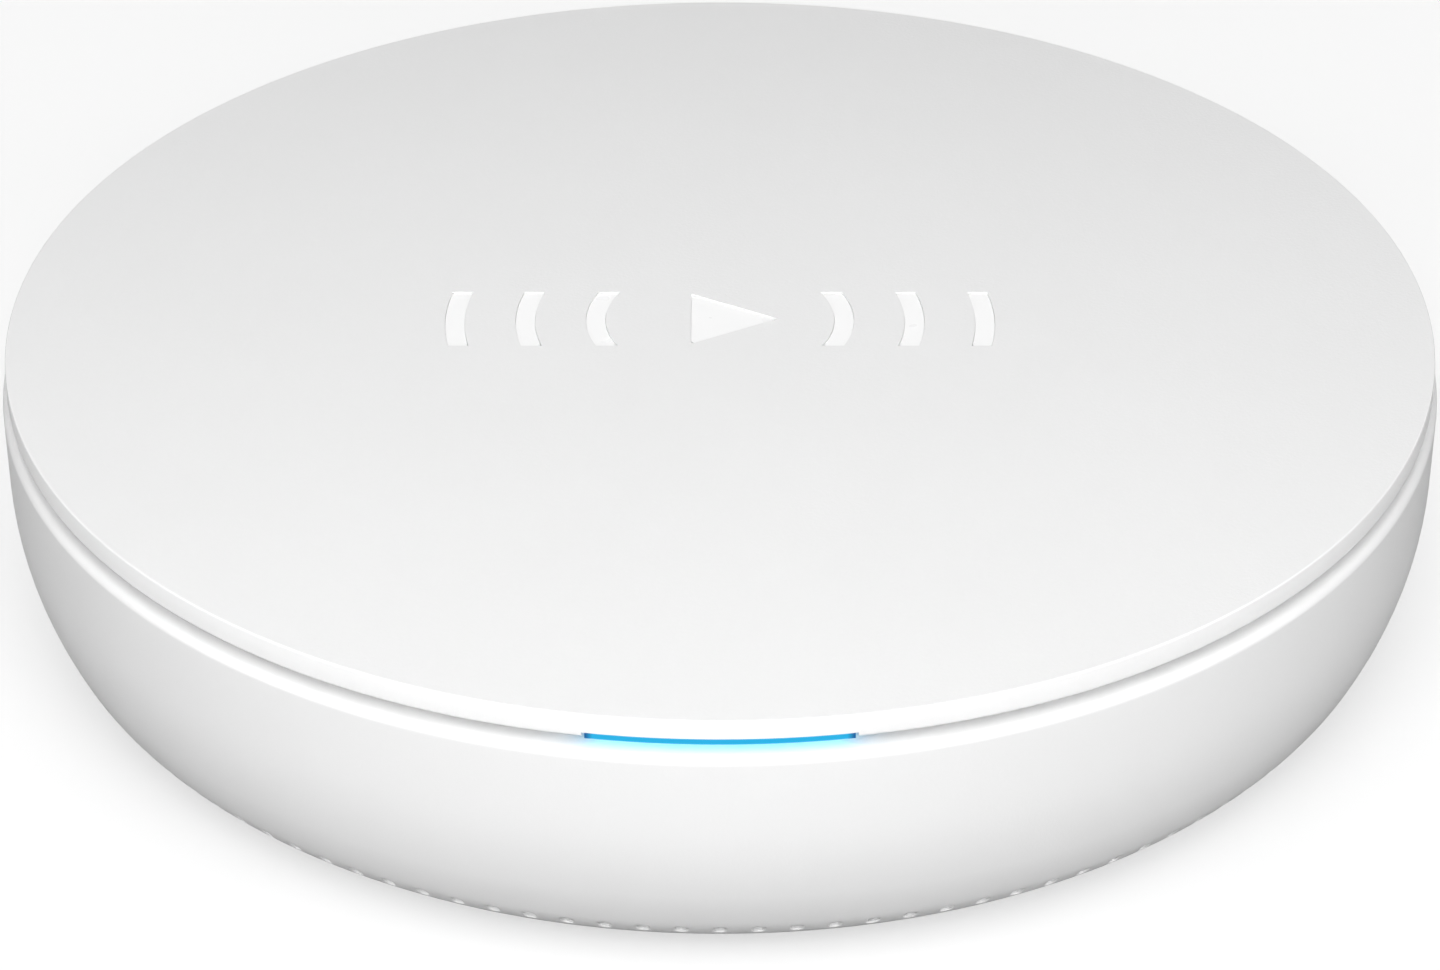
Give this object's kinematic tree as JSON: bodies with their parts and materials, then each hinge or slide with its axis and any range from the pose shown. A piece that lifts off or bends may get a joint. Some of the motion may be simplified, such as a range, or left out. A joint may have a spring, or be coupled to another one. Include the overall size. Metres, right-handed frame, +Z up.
{
  "type": "streaming media player",
  "caption": "Low round white streaming media player: a flat top cover floats over a shallow bowl with a lit front strip, low vents and rear sockets with a reset button.",
  "frame": {"origin": "on the surface it stands on, under the centre of the round body", "axes": "+Z up, -Y towards the lit front edge, +Y towards the sockets at the back"},
  "size_m": [0.1728, 0.1728, 0.036],
  "materials": {
    "cover_white": "fine moulded grain, matt white",
    "mark_gloss": "gloss white inlay",
    "housing_white": "satin white",
    "light_strip": "translucent, lit blue",
    "foot_rubber": "matt pale grey",
    "label_film": "blank satin film",
    "screw_steel": "zinc plated",
    "circuit_board": "green solder mask",
    "led_lens": "clear lens",
    "connector_ivory": "natural",
    "flex_film": "satin film",
    "chip_black": "moulded epoxy",
    "pad_grey": "soft silicone",
    "heat_aluminium": "extruded, satin",
    "black_plastic": "moulded",
    "shield_tin": "tin plated",
    "capacitor_can": "satin",
    "ferrite_grey": "sintered",
    "socket_nickel": "nickel plated",
    "contact_gold": "gold plated",
    "button_grey": "moulded"
  },
  "bodies": {
    "housing": {"board_screws": "screw_steel", "capacitors": "capacitor_can", "coax_connector": "socket_nickel", "coax_contact": "contact_gold", "coax_insulator": "connector_ivory", "coax_nut": "socket_nickel", "cover_mark": "mark_gloss", "ethernet_contacts": "contact_gold", "ethernet_insert": "black_plastic", "ethernet_shield": "shield_tin", "flex_cable": "flex_film", "flex_connectors": "connector_ivory", "foot_ring": "foot_rubber", "heat_spreader": "heat_aluminium", "heat_spreader_pins": "black_plastic", "housing_screws": "screw_steel", "inductors": "ferrite_grey", "led_board": "circuit_board", "led_screws": "screw_steel", "light_guide": "light_strip", "lower_housing": "housing_white", "main_board": "circuit_board", "memory_chips": "chip_black", "power_jack": "black_plastic", "power_pin": "socket_nickel", "processor": "chip_black", "rating_label": "label_film", "status_leds": "led_lens", "storage_chip": "chip_black", "tact_switch": "black_plastic", "thermal_pad": "pad_grey", "top_cover": "cover_white", "tuner_shield": "shield_tin", "usb_contacts": "contact_gold", "usb_shield": "shield_tin", "usb_tongue": "black_plastic", "wifi_antennas": "shield_tin", "wifi_module": "shield_tin"},
    "reset": {"reset_button": "button_grey", "switch_plunger": "button_grey"}
  },
  "joints": [
    {"name": "reset_press", "type": "slide", "parent": "housing", "child": "reset", "axis": [0, -1, 0], "range_m": [0, 0.0005], "stiffness_N_per_m": 250}
  ]
}
